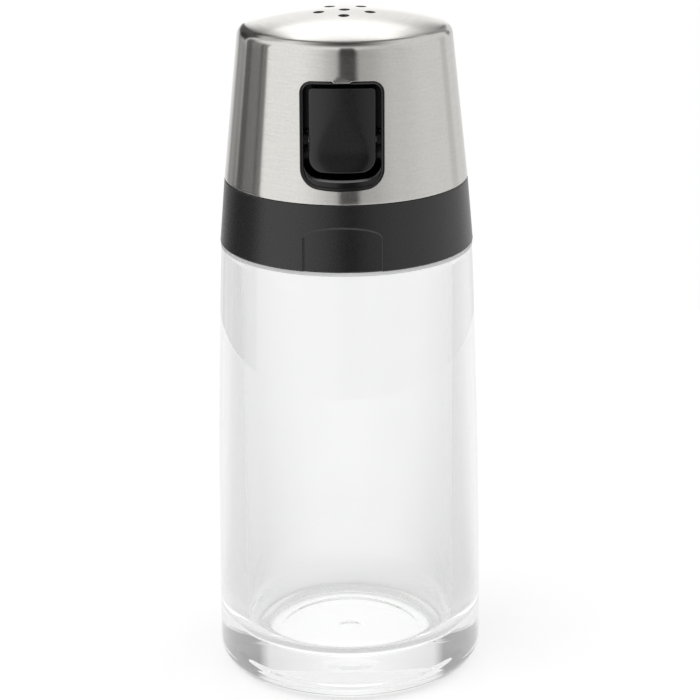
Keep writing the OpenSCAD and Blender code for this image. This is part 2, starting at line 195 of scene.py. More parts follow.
def spread(tree, value, low, high, out_low, out_high, smooth=False):
    """Maps low..high to out_low..out_high and clamps outside it."""
    kind = "SMOOTHSTEP" if smooth else "LINEAR"
    return node(tree, "ShaderNodeMapRange",
                {"Value": value, "From Min": low, "From Max": high, "To Min": out_low, "To Max": out_high},
                interpolation_type=kind).outputs[0]


def math(tree, operation, a, b=0.0, c=0.0):
    """One step of arithmetic."""
    return node(tree, "ShaderNodeMath", {0: a, 1: b, 2: c}, operation=operation).outputs[0]


def mix_colour(tree, factor, colour_a, colour_b):
    """(1 - factor) * colour a + factor * colour b."""
    made = tree.nodes.new("ShaderNodeMix")
    made.data_type = "RGBA"
    tree.links.new(factor, made.inputs[0])
    made.inputs[6].default_value = (*colour_a, 1)
    made.inputs[7].default_value = (*colour_b, 1)
    return made.outputs[2]


def relief(tree, principled, height, depth):
    """Bump on the surface: a height from 0 to 1 that is depth millimetres high at 1."""
    bump = node(tree, "ShaderNodeBump", {"Height": height, "Strength": 1.0, "Distance": depth * MM})
    tree.links.new(bump.outputs[0], principled.inputs["Normal"])


glass_colour = (0.966, 0.969, 0.967)
# Grey for the shoulder's edge: painted shade.
shoulder_painted_shade_colour = (0.5, 0.5, 0.495)
glass, tree, shine = surface("clear_glass", {
    "Base Color": (*glass_colour, 1), "Transmission Weight": 1.0, "IOR": 1.5, "Roughness": 0.0})
long_waves = noise(tree, millimetres(tree, (1, 1, 0.08)), 0.09, 1.5)
relief(tree, shine, long_waves, 0.03)
up_jar = node(tree, "ShaderNodeSeparateXYZ", {0: millimetres(tree)}).outputs[2]
# The foot is scuffed where it stands, up to a few millimetres.
worn_h, worn_rough = 3, 0.25
scuffs = spread(tree, noise(tree, millimetres(tree), 1.6, 6.0, 0.7), 0.52, 0.75, 0.0, worn_rough)
worn = math(tree, "MULTIPLY", scuffs, spread(tree, up_jar, 0, worn_h, 1, 0))
# The shoulder's edge is satin from just over its tangent to the wall, and ends on the flat of the shoulder.
# Over the same band the glass's colour is darkened to grey: painted shade, where the dark collar would show
# in the rounded edge.
satin_z, satin_rough = shoulder_z - shoulder_edge_r + 0.2, 0.5
satin_and_painted_shade = math(tree, "MULTIPLY", spread(tree, up_jar, satin_z - 0.05, satin_z + 0.05, 0, 1),
             spread(tree, up_jar, shoulder_z + 0.1, shoulder_z + 0.5, 1, 0))
tree.links.new(math(tree, "MULTIPLY_ADD", satin_and_painted_shade, satin_rough, worn), shine.inputs["Roughness"])
tree.links.new(mix_colour(tree, satin_and_painted_shade, glass_colour, shoulder_painted_shade_colour), shine.inputs["Base Color"])
# The glass glows, though it is no lamp: where light has been thrown about inside it past this many
# reflections, it gives off a painted pale grey glow, in place of the black that the renderer leaves where it
# stops.
most_reflections, painted_glow = 3.5, 0.42
reflections = node(tree, "ShaderNodeLightPath").outputs["Glossy Depth"]
deep_inside = math(tree, "GREATER_THAN", reflections, most_reflections)
tree.links.new(math(tree, "MULTIPLY", deep_inside, painted_glow), shine.inputs["Emission Strength"])


def ridges(angle, z, r):
    """How far the thread ridges push the neck's wall out. Each is the smooth step of a trapezoid across it,
    run out at its ends, and its middle rises by the radius times the sines of the angle along it and of the
    tilt. Only the neck's outer skin is pushed."""
    pitch = 2 * np.pi / ridge_starts
    along = (angle - np.pi / 2 + pitch / 2) % pitch - pitch / 2
    middle = neck_top_z - ridge_down + (neck_r + ridge_depth) * np.sin(along) * np.sin(ridge_tilt)
    across = np.clip((ridge_base / 2 - np.abs(z - middle)) / ((ridge_base - ridge_crest) / 2), 0, 1)
    ends = np.clip((ridge_half_sweep - np.abs(along)) / ridge_run_out, 0, 1)
    outside = r > mouth_r + neck_t / 2
    return ridge_depth * smooth_step(across * ends) * outside


bow_top_z = shoulder_z - shoulder_edge_r
wall_z = np.linspace(foot_corner_r, bow_top_z, 40)
wall_r = foot_r - wall_lean * ((wall_z - foot_corner_r) / (bow_top_z - foot_corner_r)) ** 2
underside_r = np.concatenate([
    np.linspace(0, recess_r - recess_edge - 0.2, 56), np.linspace(recess_r - recess_edge, recess_r, 9),
    [foot_r - foot_corner_r]])
underside = np.stack([underside_r, sum(
    rise * smooth_step((edge - underside_r) / width + 0.5) for rise, edge, width in
    ((recess_h, recess_r - recess_edge / 2, recess_edge), (step_h, step_r, step_edge),
     (gate_h, gate_r, gate_edge)))], -1)
bore_r = foot_r - wall_t
throat_z = shoulder_z + throat_h
throat = np.linspace(0, np.pi, 13)
bore_z = np.linspace(shoulder_z, base_t + floor_corner_r, 31)[1:]
neck = softened([
    (foot_r - wall_lean - shoulder_edge_r, shoulder_z), (neck_r, shoulder_z), (neck_r, shoulder_z + 1.5),
    (neck_r, neck_top_z - 0.6), (neck_r, neck_top_z), (mouth_r, neck_top_z), (mouth_r, throat_z)], neck_edge)
ridge_steps = 56
ridge_rows = np.linspace(shoulder_z + 2.2, neck_top_z - 1.2, ridge_steps)
below = neck[:, 1] < ridge_rows[0]
neck = np.concatenate([neck[below], np.stack([np.full(ridge_steps, neck_r), ridge_rows], -1), neck[~below]])
jar_profile = np.concatenate([
    underside[:-1],
    arc((foot_r - foot_corner_r, foot_corner_r), foot_corner_r, -90, 0, 14),
    np.stack([wall_r, wall_z], -1)[1:],
    arc((foot_r - wall_lean - shoulder_edge_r, bow_top_z), shoulder_edge_r, 3, 90, 7),
    neck[1:],
    np.stack([mouth_r + (bore_r - mouth_r) * (1 - np.cos(throat)) / 2,
              throat_z - (throat_z - shoulder_z) * throat / np.pi], -1)[1:],
    np.stack([np.full(len(bore_z), bore_r), bore_z], -1),
    arc((bore_r - floor_corner_r, base_t + floor_corner_r), floor_corner_r, 0, -90, 14)[1:],
    [(12, base_t), (5, base_t), (0, base_t)]])
jar = piece("jar_glass", glass, [turned(jar_profile, around(240), ridges)])
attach(jar, "jar")
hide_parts("jar")

# ---- Seal ----
# A flat silicone washer lies on the neck's rim, and the cap's inner ring presses on it. It is punched from
# sheet: matt, milky and slightly see-through, with soft edges.
seal_low, seal_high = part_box("cap_seal")
seal_inset, seal_edge = 0.1, 0.15
silicone, tree, shine = surface("milky_silicone", {
    "Base Color": (0.62, 0.62, 0.6, 1), "Roughness": 0.5, "IOR": 1.41, "Subsurface Weight": 0.25,
    "Subsurface Radius": (0.9, 0.9, 0.8), "Subsurface Scale": MM})
cloud = noise(tree, millimetres(tree), 0.35, 4.0)
tree.links.new(mix_colour(tree, cloud, (0.56, 0.56, 0.545), (0.67, 0.67, 0.65)), shine.inputs["Base Color"])
relief(tree, shine, noise(tree, millimetres(tree), 4.0, 3.0), 0.01)
seal_in, seal_out = mouth_r + seal_inset, seal_high.x / MM
seal_z, seal_top_z = seal_low.z / MM, seal_high.z / MM
seal_middle = (seal_in, seal_z + 0.5)
seal_profile = softened([seal_middle, (seal_in, seal_z), (seal_out, seal_z), (seal_out, seal_top_z),
                         (seal_in, seal_top_z), seal_middle], seal_edge)
seal = piece("seal_washer", silicone, [turned(seal_profile, around(180))])
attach(seal, "seal")
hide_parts("cap_seal")

# ---- Inner ring and liner ----
# Both are black plastic mouldings hidden under the collar and the dome. The ring has the lugs that grip the
# neck, the liner holds the steel and stands in the ring's rim. They have a fine spark-eroded texture.
black, tree, shine = surface("black_moulding", {
    "Base Color": (0.014, 0.014, 0.015, 1), "Roughness": 0.5, "Specular IOR Level": 0.4})
spark = noise(tree, millimetres(tree), 5.0, 4.0, 0.65)
tree.links.new(mix_colour(tree, spark, (0.011, 0.011, 0.012), (0.019, 0.019, 0.02)),
               shine.inputs["Base Color"])
tree.links.new(spread(tree, spark, 0.3, 0.7, 0.42, 0.6), shine.inputs["Roughness"])
relief(tree, shine, spark, 0.012)
for name in ("threaded_ring", "dome_liner"):
    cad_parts[name].data.materials[0] = black

# ---- Collar ----
# A soft-touch rubber band is moulded over the ring. It is dull and dark grey, tapers up to the dome, and its
# front has a bare arched panel that lies a quarter of a millimetre deeper.
collar_low, collar_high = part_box("collar_grip")
collar_z, collar_top_z = collar_low.z / MM, collar_high.z / MM
collar_foot_r = collar_high.x / MM
collar_taper = 4.9
collar_slope = np.tan(np.radians(collar_taper))
collar_top_r = collar_foot_r - (collar_top_z - collar_z) * collar_slope
collar_t = 0.7
collar_edge = 0.35
panel_w = 16.2
panel_side_h = 6.9
panel_arch_h = 2.4
panel_depth = 0.25
panel_soft = 0.3
panel_skin = 0.4
panel_sweep = 22
rubber, tree, shine = surface("soft_touch_rubber", {
    "Base Color": (0.0105, 0.0105, 0.0103, 1), "Roughness": 0.28, "Specular IOR Level": 0.66})
grain = noise(tree, millimetres(tree), 3.2, 5.0, 0.7)
blotches = spread(tree, noise(tree, millimetres(tree), 0.16, 3.0), 0.3, 0.7, 0, 1)
tree.links.new(mix_colour(tree, blotches, (0.008, 0.008, 0.0078), (0.0115, 0.0115, 0.0112)),
               shine.inputs["Base Color"])
tree.links.new(spread(tree, grain, 0.25, 0.75, 0.22, 0.34), shine.inputs["Roughness"])
relief(tree, shine, grain, 0.022)


def panel_push(angle, z, r):
    """The panel's depth inside its outline: straight sides under half an ellipse, with a smooth step at the
    border. The way in from a side is half the width less |x|. From the arch it is 1 less the ellipse's own
    radius, times the arch's height, over the sine of that radius' slope. Only the collar's outer skin is
    pushed, and only at the front."""
    half_w = panel_w / 2
    x = np.abs(r * np.sin(angle))
    up = z - collar_z - panel_side_h
    wide, high = x / half_w, np.maximum(up, 0) / panel_arch_h
    steep = np.maximum(np.sin(np.arctan2(high, wide + 1e-6)), panel_arch_h / half_w)
    way_in = np.where(up > 0, (1 - np.hypot(wide, high)) * panel_arch_h / steep, half_w - x)
    outer = r > collar_foot_r - (z - collar_z) * collar_slope - panel_skin
    return -panel_depth * smooth_step(way_in / panel_soft + 0.5) * outer * (np.cos(angle) > 0)


front_angles = np.radians(np.linspace(-panel_sweep, panel_sweep, 221))
rest_angles = np.radians(np.linspace(panel_sweep, 360 - panel_sweep, 159))
collar_angles = np.concatenate([front_angles, rest_angles[1:]])
outer_z = np.linspace(collar_z + collar_edge, collar_top_z - collar_edge, 100)
collar_profile = np.concatenate([
    [(collar_foot_r - collar_t, collar_z)],
    arc((collar_foot_r - collar_edge, collar_z + collar_edge), collar_edge, -90, 0, 6),
    np.stack([collar_foot_r - (outer_z - collar_z) * collar_slope, outer_z], -1)[1:-1],
    arc((collar_top_r - collar_edge, collar_top_z - collar_edge), collar_edge, collar_taper, 90, 6),
    [(collar_top_r - collar_t, collar_top_z), (collar_foot_r - collar_t, collar_z)]])
collar = piece("collar_band", rubber, [turned(collar_profile, collar_angles, panel_push)])
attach(collar, "cap")
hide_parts("collar_grip")

# ---- Steel dome ----
# The dome is drawn from 0.6 mm stainless sheet and brushed round its axis, so that reflections are sharp
# across and smeared up and down. A window with a small locating tab is punched in its front, and six shaker
# holes in its crown. All cut edges are lightly rounded.
steel_t = 0.6
crown_r = 84.0
hole_r = 1.1
dome_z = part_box("steel_dome")[0].z / MM
dome_top_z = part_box("steel_dome")[1].z / MM + hole_r ** 2 / (2 * crown_r)
dome_foot_r = collar_top_r
dome_lean = 6
dome_edge_r = 2.6
cut_edge = 0.07
hole_ring_r = 5.6
hole_count = 5
pivot_depth = 3.0
pivot_up = 12.74
pivot_z = dome_z + pivot_up
window_w = 17.1
window_down = 10.4
window_up = 11.9
window_top_r = 2.4
window_foot_r = 4.2
window_bow_r = 30.0
tab_w = 3.2
tab_h = 0.4
tuck_w, tuck_h, tuck_slope = 2.15, 1.1, 0.11
tuck_down, tuck_skirt = 0.35, 1.0
crown_z = dome_top_z - crown_r
lean = np.radians(dome_lean)
lean_sin, lean_cos, lean_tan = np.sin(lean), np.cos(lean), np.tan(lean)


def dome_side(z, depth):
    """Radius of the dome's side, a cone, at height z and depth under the steel's surface."""
    return dome_foot_r - depth / lean_cos - (z - dome_z) * lean_tan


pivot_y = pivot_depth * lean_cos - dome_side(pivot_z + pivot_depth * lean_sin, 0)


def at_spout(x, y, z):
    """Points given about the spout's pivot, with z up along the dome's side and -y out of it."""
    return np.stack([x, pivot_y + y * lean_cos + z * lean_sin, pivot_z - y * lean_sin + z * lean_cos], -1)


def dome_front(x, z, depth):
    """The y about the pivot at which the line (x, z) meets the cone: the nearer root of
    x^2 + Y^2 = r(Z)^2, with Y and Z linear in y."""
    a = pivot_y + z * lean_sin
    b = dome_side(pivot_z + z * lean_cos, depth)
    slope = lean_sin * lean_tan
    p, q, k = lean_cos ** 2 - slope ** 2, a * lean_cos - b * slope, a * a + x * x - b * b
    return (-q - np.sqrt(q * q - p * k)) / p


def opening(width, down, up, top_r, foot_r, bow_r, tab=0.0):
    """Closed outline in x and z, from the middle of its foot to the right and round: a bowed foot, two lower
    corners tangent to it, straight sides, upper corners and a straight top, which a tab may lower."""
    half, bow_z = width / 2, bow_r - down
    corner_x = half - foot_r
    corner_z = bow_z - np.sqrt((bow_r - foot_r) ** 2 - corner_x ** 2)
    steep = np.degrees(np.arctan2(corner_z - bow_z, corner_x))
    side = np.linspace(corner_z, up - top_r, 41)[1:-1]
    top = np.linspace(half - top_r, 0, 61)[1:]
    right = np.concatenate([
        arc((0, bow_z), bow_r, -90, steep, 24), arc((corner_x, corner_z), foot_r, steep, 0, 20)[1:],
        np.stack([np.full(len(side), half), side], -1), arc((half - top_r, up - top_r), top_r, 0, 90, 16),
        np.stack([top, np.full(len(top), up)], -1)])
    if tab:
        near = smooth_step((tab / 2 + tab_h - right[:, 0]) / tab_h)
        right[:, 1] -= tab_h * near * (right[:, 1] > up - 0.01)
    return np.concatenate([right, right[-2::-1] * (-1, 1)])


def window(grow):
    """The window's outline, moved out by grow all round."""
    return opening(window_w + 2 * grow, window_down + grow, window_up + grow, window_top_r + grow,
                   window_foot_r + grow, window_bow_r + grow, tab_w - 2 * grow)


def between(inner, outer, steps):
    """Rows from one ring of points to another: (1 - t) * inner + t * outer for each t in steps."""
    t = np.asarray(steps, float)[:, None, None]
    return (1 - t) * inner + t * outer


def ring_of(corner_points, counts):
    """Closed ring along straight legs from corner to corner, each with its count of steps."""
    legs = [np.linspace(a, b, n + 1)[:-1] for a, b, n in
            zip(corner_points, np.roll(corner_points, -1, axis=0), counts)]
    return np.concatenate(legs + [legs[0][:1]])


patch_sweep = np.radians(28)
columns_fine, columns_rest, side_rows = 112, 152, 66
fine_angles = np.linspace(-patch_sweep, patch_sweep, columns_fine + 1)
rest_of_turn = np.linspace(patch_sweep, 2 * np.pi - patch_sweep, columns_rest + 1)
dome_angles = np.concatenate([fine_angles, rest_of_turn[1:]])
fade = (0, 0.02, 0.05, 0.09, 0.14, 0.2, 0.28, 0.42, 0.6, 0.8, 1)
rounding = np.radians([0, 30, 60, 90])
cut_rows = [(cut_edge * (1 - np.sin(a)), cut_edge * (1 - np.cos(a))) for a in rounding]
cut_rows += [(grow, steel_t - depth) for grow, depth in cut_rows[::-1]]


def edge_circle(depth):
    """Centre of the edge's arc, its radius and the angle at which it joins the crown. The arc touches the
    side's line and the crown's circle, so its centre lies on the side's parallel at rho, and at
    crown_r - depth - rho from the crown's centre."""
    rho = dome_edge_r - depth
    start = np.array([dome_side(dome_z, depth) - rho * lean_cos, dome_z - rho * lean_sin - crown_z])
    rise = np.array([-lean_sin, lean_cos])
    along = -start @ rise + np.sqrt((start @ rise) ** 2 - start @ start + (crown_r - depth - rho) ** 2)
    centre = start + along * rise
    return centre + (0, crown_z), rho, np.degrees(np.arctan2(centre[1], centre[0]))


def window_ring(grow, depth, directions):
    """The window's outline on the dome, as angle and height, where rays in the given directions from the
    window's middle cross it."""
    outline = window(grow)
    polar = np.unwrap(np.arctan2(outline[:, 1], outline[:, 0]))
    x = np.interp(directions, polar, outline[:, 0])
    z = np.interp(directions, polar, outline[:, 1])
    place = at_spout(x, dome_front(x, z, depth), z)
    return np.stack([np.arctan2(place[:, 0], -place[:, 1]), place[:, 2]], -1)


tuck_z = pivot_z + window_up * lean_cos + pivot_depth * lean_sin - tuck_down


def on_side(spots, depth):
    """Angle and height to a point of the dome's side. Over the tab the outer skin is pressed in: below a
    parabola, tuck_h high at its middle, it slopes inwards by tuck_slope."""
    angle, z = spots[..., 0], spots[..., 1]
    r = dome_side(z, depth)
    arched = 1 - (r * np.sin(angle) / tuck_w) ** 2
    below = np.maximum(tuck_z + tuck_h * arched - z, 0) * (arched > 0) * (z > tuck_z - tuck_skirt)
    r = r - tuck_slope * (1 - depth / steel_t) * below * (np.cos(angle) > 0)
    return np.stack([r * np.sin(angle), -r * np.cos(angle), z], -1)


def crown_height(r_squared, depth):
    """Height of the crown's sphere, depth under the steel's surface, where x^2 + y^2 is r_squared."""
    return np.sqrt((crown_r - depth) ** 2 - r_squared) + crown_z


def on_crown(place, depth):
    """x and y to a point of the crown's sphere."""
    return np.concatenate([place, crown_height((place ** 2).sum(-1), depth)[..., None]], -1)


def level_ring(r, z):
    """A ring round the axis at one radius and height, with the dome's angles."""
    return turned(np.array([(r, z)]), dome_angles)[0]


side_top_z = edge_circle(0)[0][1] + dome_edge_r * lean_sin
side_bottom_z = dome_z + cut_edge
patch = ring_of(np.array([(0, side_bottom_z), (patch_sweep, side_bottom_z), (patch_sweep, side_top_z),
                          (-patch_sweep, side_top_z), (-patch_sweep, side_bottom_z)]),
                (columns_fine // 2, side_rows, columns_fine, side_rows, columns_fine // 2))
patch_directions = np.unwrap(np.arctan2(patch[:, 1] - pivot_z, patch[:, 0] * dome_side(pivot_z, 0)))

# The crown round each outer hole is one sector of a ring. Its border has the dome's own angles on both arcs,
# and each of its points lies outward from the hole.
hole_in, hole_out, hole_sides = 3.2, 8.0, 16
half_sector = np.pi / hole_count
sectors = []
for k in range(hole_count):
    middle = 2 * np.pi * k / hole_count
    off_middle = (dome_angles[:-1] - middle + np.pi) % (2 * np.pi) - np.pi
    inside = np.sort(off_middle[np.abs(off_middle) < half_sector - 0.001])
    arc_angles = middle + np.concatenate([[-half_sector], inside, [half_sector]])
    radii = np.linspace(hole_out, hole_in, hole_sides + 1)
    spots = np.concatenate([
        np.stack([arc_angles, np.full(len(arc_angles), hole_out)], -1)[:-1],
        np.stack([np.full(hole_sides, middle + half_sector), radii[:-1]], -1),
        np.stack([arc_angles[::-1], np.full(len(arc_angles), hole_in)], -1)[:-1],
        np.stack([np.full(hole_sides + 1, middle - half_sector), radii[::-1]], -1)])
    border = spots[:, 1:] * np.stack([np.sin(spots[:, 0]), -np.cos(spots[:, 0])], -1)
    centre = hole_ring_r * np.array([np.sin(middle), -np.cos(middle)])
    outward = (border - centre) / np.linalg.norm(border - centre, axis=1, keepdims=True)
    sectors.append((border, centre, outward))


def dome_skin(depth):
    """All the grids of the dome's skin at one depth: the side with its window patch, the rounded edge, the
    crown, the sectors with a hole each and the ring round the middle hole."""
    centre, rho, steep = edge_circle(depth)
    top_z = centre[1] + rho * lean_sin
    heights = np.linspace(side_bottom_z, top_z, side_rows + 1)
    side = on_side(np.stack(np.meshgrid(rest_of_turn, heights), -1), depth)
    border = patch.copy()
    border[:, 1] = side_bottom_z + (patch[:, 1] - side_bottom_z) * (top_z - side_bottom_z) / (
        side_top_z - side_bottom_z)
    front = on_side(between(window_ring(cut_edge, depth, patch_directions), border, fade), depth)
    edge = turned(arc(centre, rho, dome_lean, steep, 14), dome_angles)
    reach = np.degrees(np.arccos(hole_out / (crown_r - depth)))
    crown = turned(arc((0, crown_z), crown_r - depth, steep, reach, 16), dome_angles)
    radii = np.linspace(hole_in, hole_r + cut_edge, 7)
    middle = turned(np.stack([radii, crown_height(radii ** 2, depth)], -1), dome_angles)
    holes = [on_crown(between(hole + (hole_r + cut_edge) * outward, border, fade), depth)
             for border, hole, outward in sectors]
    return [side, front, edge, crown, middle] + holes


lower_rim = np.stack([level_ring(dome_side(dome_z + grow, depth), dome_z + grow) for grow, depth in cut_rows])
window_rim = np.stack([on_side(window_ring(grow, depth, patch_directions), depth)
                       for grow, depth in cut_rows])
middle_rim = np.stack([level_ring(hole_r + grow, crown_height((hole_r + grow) ** 2, depth))
                       for grow, depth in cut_rows])
hole_rims = [np.stack([on_crown(hole + (hole_r + grow) * outward, depth) for grow, depth in cut_rows])
             for _, hole, outward in sectors]

steel, tree, shine = surface("brushed_steel", {
    "Base Color": (0.72, 0.72, 0.70, 1), "Metallic": 1.0, "Roughness": 0.17, "Anisotropic": 1.0,
    "Anisotropic Rotation": 0.25})
spot = node(tree, "ShaderNodeSeparateXYZ", {0: millimetres(tree)})
from_axis = math(tree, "SQRT", math(tree, "ADD", math(tree, "MULTIPLY", spot.outputs[0], spot.outputs[0]),
                                    math(tree, "MULTIPLY", spot.outputs[1], spot.outputs[1])))
across_grain = math(tree, "SUBTRACT", spot.outputs[2], from_axis)


def brush(scale_along, scale_across, detail):
    """Noise drawn out round the axis: x and y are scaled down, and the way across the grain, z - r, up."""
    vector = node(tree, "ShaderNodeCombineXYZ", {
        0: math(tree, "MULTIPLY", spot.outputs[0], scale_along),
        1: math(tree, "MULTIPLY", spot.outputs[1], scale_along),
        2: math(tree, "MULTIPLY", across_grain, scale_across)}).outputs[0]
    return noise(tree, vector, 1.0, detail, 0.6)


fine_grain = brush(0.22, 9.0, 4.0)
coarse_grain = brush(0.1, 2.2, 3.0)
grain = math(tree, "ADD", math(tree, "MULTIPLY", fine_grain, 0.65),
             math(tree, "MULTIPLY", coarse_grain, 0.35))
speckle = noise(tree, millimetres(tree), 2.6, 2.0)
mottled = math(tree, "MULTIPLY_ADD", spread(tree, speckle, 0.3, 0.7, -0.5, 0.5), 0.6,
               spread(tree, grain, 0.3, 0.7, 0, 1))
tree.links.new(mix_colour(tree, mottled, (0.68, 0.667, 0.637), (0.765, 0.751, 0.716)),
               shine.inputs["Base Color"])
# The crown is polished finer than the side.
finer = spread(tree, spot.outputs[2], dome_top_z - 6, dome_top_z - 4, 1.0, 0.62, True)
tree.links.new(math(tree, "MULTIPLY", finer, spread(tree, grain, 0.32, 0.68, 0.215, 0.135)),
               shine.inputs["Roughness"])
tree.links.new(node(tree, "ShaderNodeTangent", direction_type="RADIAL", axis="Z").outputs[0],
               shine.inputs["Tangent"])
relief(tree, shine, grain, 0.0015)

# The walls of the shaker holes get dark steel, varied by noise: painted shade inside the holes.
hole_painted_shade, tree, shine = surface("hole_wall_painted_shade", {
    "Base Color": (0.2, 0.2, 0.195, 1), "Metallic": 1.0, "Roughness": 0.5})
tears = noise(tree, millimetres(tree, (3, 3, 0.6)), 1.0, 3.0)
tree.links.new(spread(tree, tears, 0.3, 0.7, 0.4, 0.62), shine.inputs["Roughness"])
tree.links.new(mix_colour(tree, tears, (0.12, 0.12, 0.118), (0.3, 0.3, 0.29)), shine.inputs["Base Color"])
relief(tree, shine, tears, 0.01)
dome = piece("dome_shell", steel, dome_skin(0) + dome_skin(steel_t) + [lower_rim, window_rim],
             edge_finish=hole_painted_shade, edge_grids=[middle_rim] + hole_rims)
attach(dome, "cap")
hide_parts("steel_dome")

# ---- Bezel ----
# A glossy black moulding fills the window: a slim lip just under the steel, a land at its foot, and behind
# them a tub with a scoop for the spout's lower end. A raised rim round the pour window meets the spout's pad,
# and two small bosses on the tub's sides hold the pin.
bezel_gap = 0.08
lip_recess = 0.15
lip_w = 0.62
land_h = 2.1
land_bow_r = 39.0
land_recess = 0.4
land_depth = 2.0
tub_depth = 3.6
tub_wall = 1.1
scoop_r = 8.3
shelf_up = 0.8
shelf_ramp = 0.6
pour_w, pour_h, pour_up, pour_wall = 8.4, 5.9, 2.7, 0.8
pour_corner_r, pour_bow_r = 0.6, 400
pour_rim_y, pour_rim_edge = -0.15, 0.2
lip_edge = 0.12
lip_roll = 0.34
land_roll = 0.4
axle_r = 0.75
boss_wall, boss_edge = 0.55, 0.15
boss_play, boss_sunk = 0.01, 0.1
boss_gap = 0.06
spout_w = 13.6


def lip_outline(grow):
    """Outer border of the bezel, a hair smaller than the window."""
    return window(grow - bezel_gap)


def lip_opening(grow):
    """Inner border of the bezel's lip."""
    g = grow - bezel_gap - lip_w
    return opening(window_w + 2 * g, window_down + g, window_up + g, window_top_r + g, window_foot_r + g,
                   window_bow_r)


def tub_outline(grow):
    """Border of the tub: the lip's inner border, but for its foot, which the land raises."""
    g = grow - bezel_gap
    return opening(window_w - 2 * lip_w + 2 * g, window_down - land_h + g, window_up - lip_w + g,
                   window_top_r - lip_w + g, window_foot_r - lip_w + g, land_bow_r)


def pour_outline(grow):
    """Border of the pour window, whose foot is all but straight."""
    return opening(pour_w + 2 * grow, grow - pour_up, pour_up + pour_h + grow, pour_corner_r + grow,
                   pour_corner_r + grow, pour_bow_r)


def tub_back(z, radius, depth, shelf):
    """How deep the tub lies: a round scoop about the pin, the root of radius^2 - z^2, which goes over by a
    smooth step above the shelf into the flat upper half."""
    scoop = np.sqrt(np.maximum(radius ** 2 - z * z, 0))
    flat = smooth_step((z - shelf) / shelf_ramp)
    return scoop * (1 - flat) + depth * flat


def inner_back(outline):
    """Depth of the tub's inner skin under an outline."""
    return tub_back(outline[:, 1], scoop_r, tub_depth, shelf_up)


def outer_back(outline):
    """Depth of the tub's outer skin under an outline, and at least that of the land's back."""
    deep = tub_back(outline[:, 1], scoop_r + tub_wall, tub_depth + tub_wall, shelf_up + tub_wall)
    return np.maximum(deep, land_depth)


def lip_face(outline):
    """Depth of the lip's face under an outline: the dome's cone, a little under the steel's surface."""
    return dome_front(outline[:, 0], outline[:, 1], lip_recess)


def ring(outline, y):
    """An outline's x and z set at the depth y about the pivot, which may differ from point to point."""
    return at_spout(outline[:, 0], np.broadcast_to(y, len(outline)), outline[:, 1])


quarter = np.radians([0, 22.5, 45, 67.5, 90])


def rolled(outline_at, y, edge):
    """A quarter round as rings: outline_at(edge * (1 - sin a)) at the depth y + edge * (1 - cos a)."""
    return [ring(outline_at(edge * (1 - np.sin(a))), y + edge * (1 - np.cos(a))) for a in quarter]


# The skin is one strip of rings: from the pour window out over the back, round the lip's edge, over the lip,
# the land and its rolled edge, down the tub's side, in over its floor, and round the window's raised rim.
span = np.linspace(0, 1, 13)
lip_y = lip_face(lip_outline(-lip_edge))
lip_back = lip_y + lip_roll
land_low = lip_y + land_recess / 2
land_high = lip_face(tub_outline(0)) + land_recess
# Where the lip has no land under it, the land's rings still lie one behind the other, at least this far
# behind the lip.
land_least = (0.02, 0.03, 0.05, 0.07, 0.09, 0.12)
land_span = (0.05, 0.35, 0.65, 0.95)
land_y = np.maximum(land_high, lip_back + land_least[-1])
bezel_rows = [ring(o, outer_back(o)) for o in between(pour_outline(0), lip_outline(0), span)]
bezel_rows += [ring(lip_outline(-lip_edge * (1 - np.cos(a))), lip_y + lip_edge * (1 - np.sin(a)))
               for a in quarter]
bezel_rows += [ring(o, lip_y) for o in
               between(lip_outline(-lip_edge), lip_opening(lip_roll), (0.1, 0.5, 0.9))]
bezel_rows += rolled(lip_opening, lip_y, lip_roll)
bezel_rows += [ring(lip_opening(0), np.maximum(land_low, lip_back + land_least[0]))]
bezel_rows += [ring(o, np.maximum(y, lip_back + least)) for o, y, least in zip(
    between(lip_opening(0), tub_outline(land_roll), land_span),
    between(land_low[:, None], land_high[:, None], land_span)[..., 0], land_least[1:-1])]
roll_start = len(bezel_rows) - 1
bezel_rows += rolled(tub_outline, land_y, land_roll)
roll_end = len(bezel_rows)
tub_edge = tub_outline(0)
bezel_rows += [ring(tub_edge, y) for y in between(
    (land_y + land_roll)[:, None], inner_back(tub_edge)[:, None], (0.08, 0.5, 0.95, 1))[..., 0]]
bezel_rows += [ring(o, inner_back(o)) for o in between(tub_edge, pour_outline(pour_wall), span)[1:]]
bezel_rows += [ring(pour_outline(pour_wall - pour_rim_edge * (1 - np.cos(a))),
                    pour_rim_y + pour_rim_edge * (1 - np.sin(a))) for a in quarter]
bezel_rows += rolled(pour_outline, pour_rim_y, pour_rim_edge)
bezel_rows += [bezel_rows[0]]


def flow_marks(tree):
    """Soft clouds where the plastic has flowed round the opening."""
    return noise(tree, millimetres(tree), 0.5, 3.0)


gloss, tree, shine = surface("gloss_black_moulding", {
    "Base Color": (0.006, 0.006, 0.0065, 1), "Roughness": 0.16, "Specular IOR Level": 0.62})
flow = flow_marks(tree)
tree.links.new(mix_colour(tree, flow, (0.004, 0.004, 0.0045), (0.008, 0.008, 0.0085)),
               shine.inputs["Base Color"])
tree.links.new(spread(tree, noise(tree, millimetres(tree), 2.5, 5.0), 0.35, 0.7, 0.12, 0.24),
               shine.inputs["Roughness"])
relief(tree, shine, flow, 0.01)

